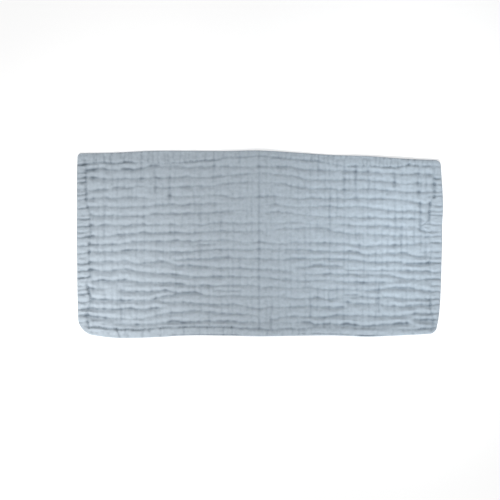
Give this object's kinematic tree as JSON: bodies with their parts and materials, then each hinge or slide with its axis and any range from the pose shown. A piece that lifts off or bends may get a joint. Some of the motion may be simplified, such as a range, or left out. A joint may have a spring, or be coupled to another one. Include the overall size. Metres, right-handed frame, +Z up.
{
  "type": "burp cloth",
  "caption": "Rectangular crinkled muslin burp cloth with a turned-in stitched hem, lying flat with a soft fold crease across the middle.",
  "frame": {"origin": "on the surface that the cloth lies on, under the middle of its outline", "axes": "+X along the cloth's length, +Y across it towards the edge that is at the top of the picture, +Z up out of the surface"},
  "size_m": [0.5076, 0.2602, 0.0064],
  "materials": {
    "gauze": "matt crinkled cotton"
  },
  "bodies": {
    "root": {"cloth": "gauze"}
  },
  "joints": []
}
